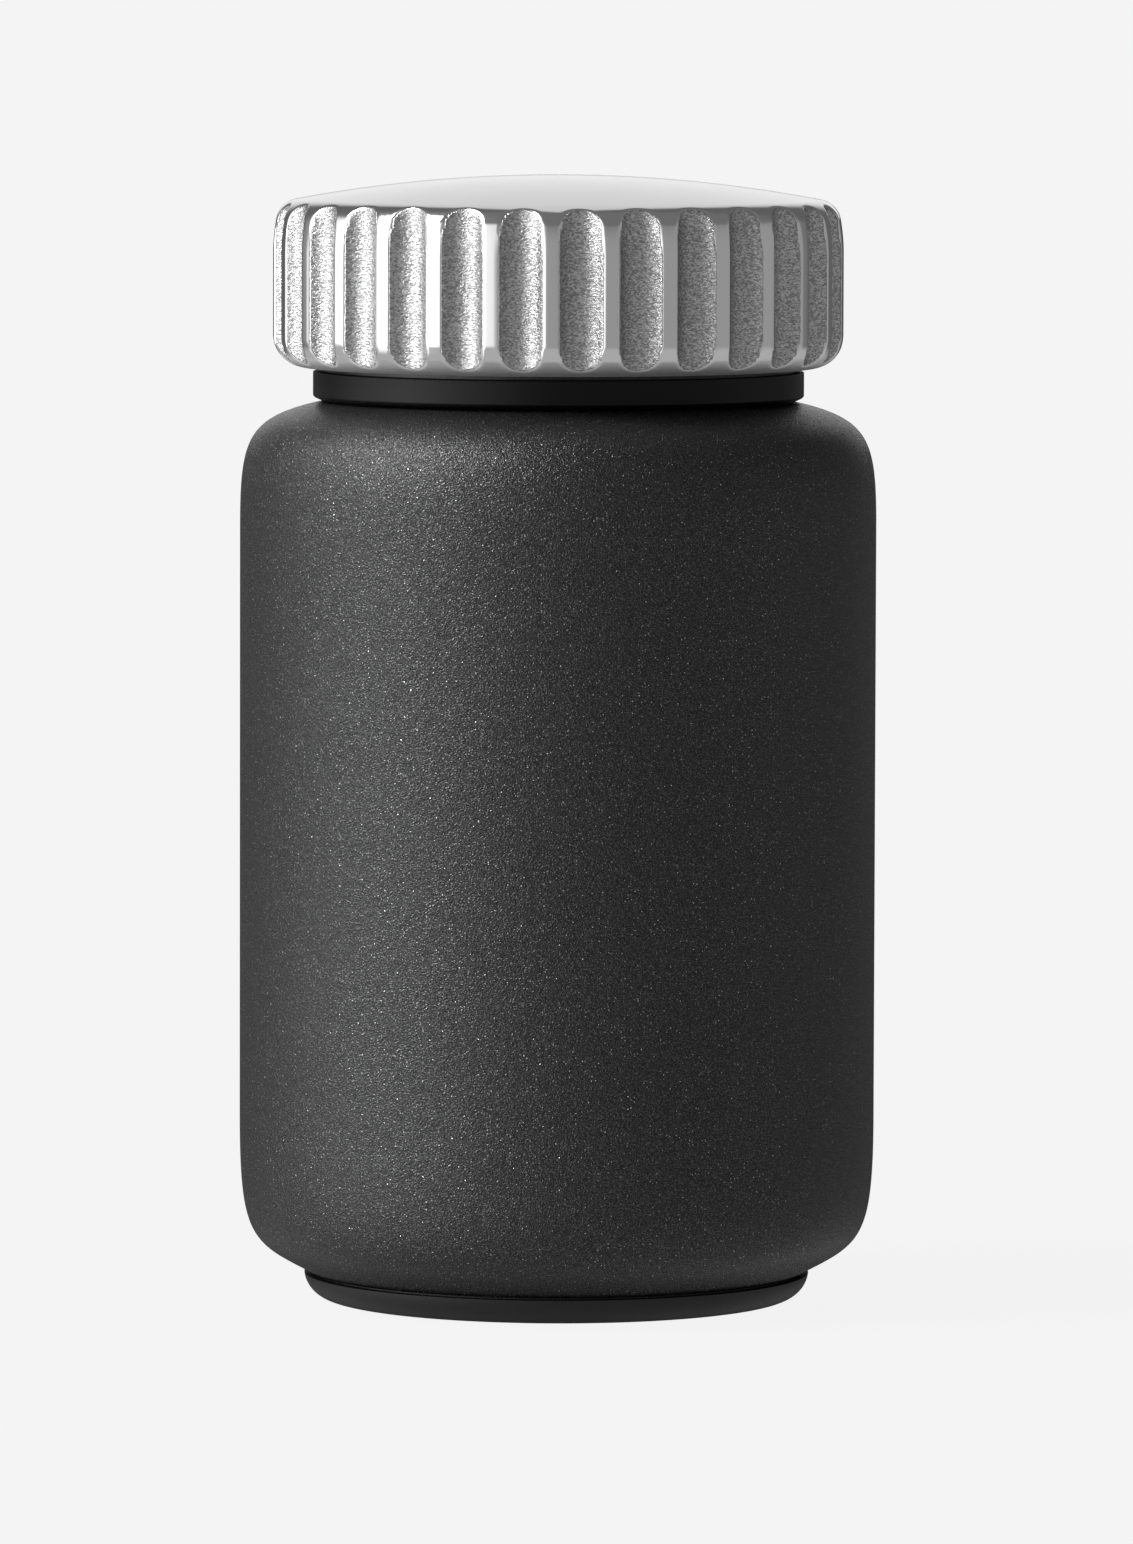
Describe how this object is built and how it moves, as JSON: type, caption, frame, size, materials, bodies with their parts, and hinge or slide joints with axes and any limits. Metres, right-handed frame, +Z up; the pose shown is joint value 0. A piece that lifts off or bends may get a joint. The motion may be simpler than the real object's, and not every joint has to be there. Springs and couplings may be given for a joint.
{
  "type": "table spice mill",
  "caption": "Table spice mill: powder coated cylinder on an inset foot, with a fluted cast head that turns a ceramic burr grinder and lifts off to fill it.",
  "frame": {"origin": "centre of the foot ring's lower face, on the table", "axes": "+Z up along the mill's axis, from the foot to the dome of the head; -Y is the side seen in the picture"},
  "size_m": [0.066, 0.066, 0.1168],
  "materials": {
    "cast_metal": "polished lands, blasted flutes",
    "black_plastic": "satin",
    "powder_coat": "fine textured powder coat with a metallic fleck",
    "foot_rubber": "satin",
    "screw_steel": "zinc plated",
    "spring_steel": "bright drawn wire",
    "seal_rubber": "smooth",
    "slip_plastic": "low friction, black",
    "liner_plastic": "food safe, translucent white",
    "grinder_plastic": "glass filled, moulded",
    "knob_plastic": "moulded",
    "bush_brass": "turned",
    "burr_ceramic": "fine, unglazed",
    "shaft_metal": "extruded"
  },
  "bodies": {
    "root": {"neck_ring": "black_plastic", "body_shell": "powder_coat", "hopper_liner": "liner_plastic", "base_carrier": "black_plastic", "foot_ring": "foot_rubber", "grinder_housing": "grinder_plastic", "housing_screws": "screw_steel", "bearing_bush": "bush_brass", "spring_washer": "spring_steel", "burr_ring": "burr_ceramic", "outlet_bridge": "grinder_plastic", "rotor_spring": "spring_steel"},
    "slip": {"slip_ring": "slip_plastic"},
    "head": {"grip_head": "cast_metal", "head_insert": "black_plastic", "insert_screws": "screw_steel", "socket_spring": "spring_steel", "head_seal": "seal_rubber"},
    "carriage": {"thrust_ball": "screw_steel"},
    "adjuster": {"adjuster_knob": "knob_plastic"},
    "drive": {"drive_shaft": "shaft_metal", "rotor_hub": "grinder_plastic", "rotor_cap": "screw_steel", "burr_cone": "burr_ceramic", "shaft_clip": "spring_steel"}
  },
  "joints": [
    {"name": "head_lift", "type": "slide", "parent": "root", "child": "slip", "axis": [0, 0, 1], "range_m": [0, 0.03]},
    {"name": "head_turn", "type": "hinge", "parent": "slip", "child": "head", "pos_m": [0, 0, 0.0968], "axis": [0, 0, 1], "continuous": true},
    {"name": "burr_gap", "type": "slide", "parent": "root", "child": "carriage", "axis": [0, 0, 1], "range_m": [0, 0.0009375], "deforming": ["rotor_spring"]},
    {"name": "adjuster_turn", "type": "hinge", "parent": "carriage", "child": "adjuster", "pos_m": [0, 0, 0.003], "axis": [0, 0, 1], "range_deg": [0, 270]},
    {"name": "rotor_turn", "type": "hinge", "parent": "carriage", "child": "drive", "pos_m": [0, 0, 0.0063], "axis": [0, 0, 1], "continuous": true}
  ],
  "couplings": [
    {"joint": "adjuster_turn", "follows": "burr_gap", "rad_per_m": 5026.5},
    {"joint": "rotor_turn", "follows": "head_turn", "ratio": 1}
  ]
}
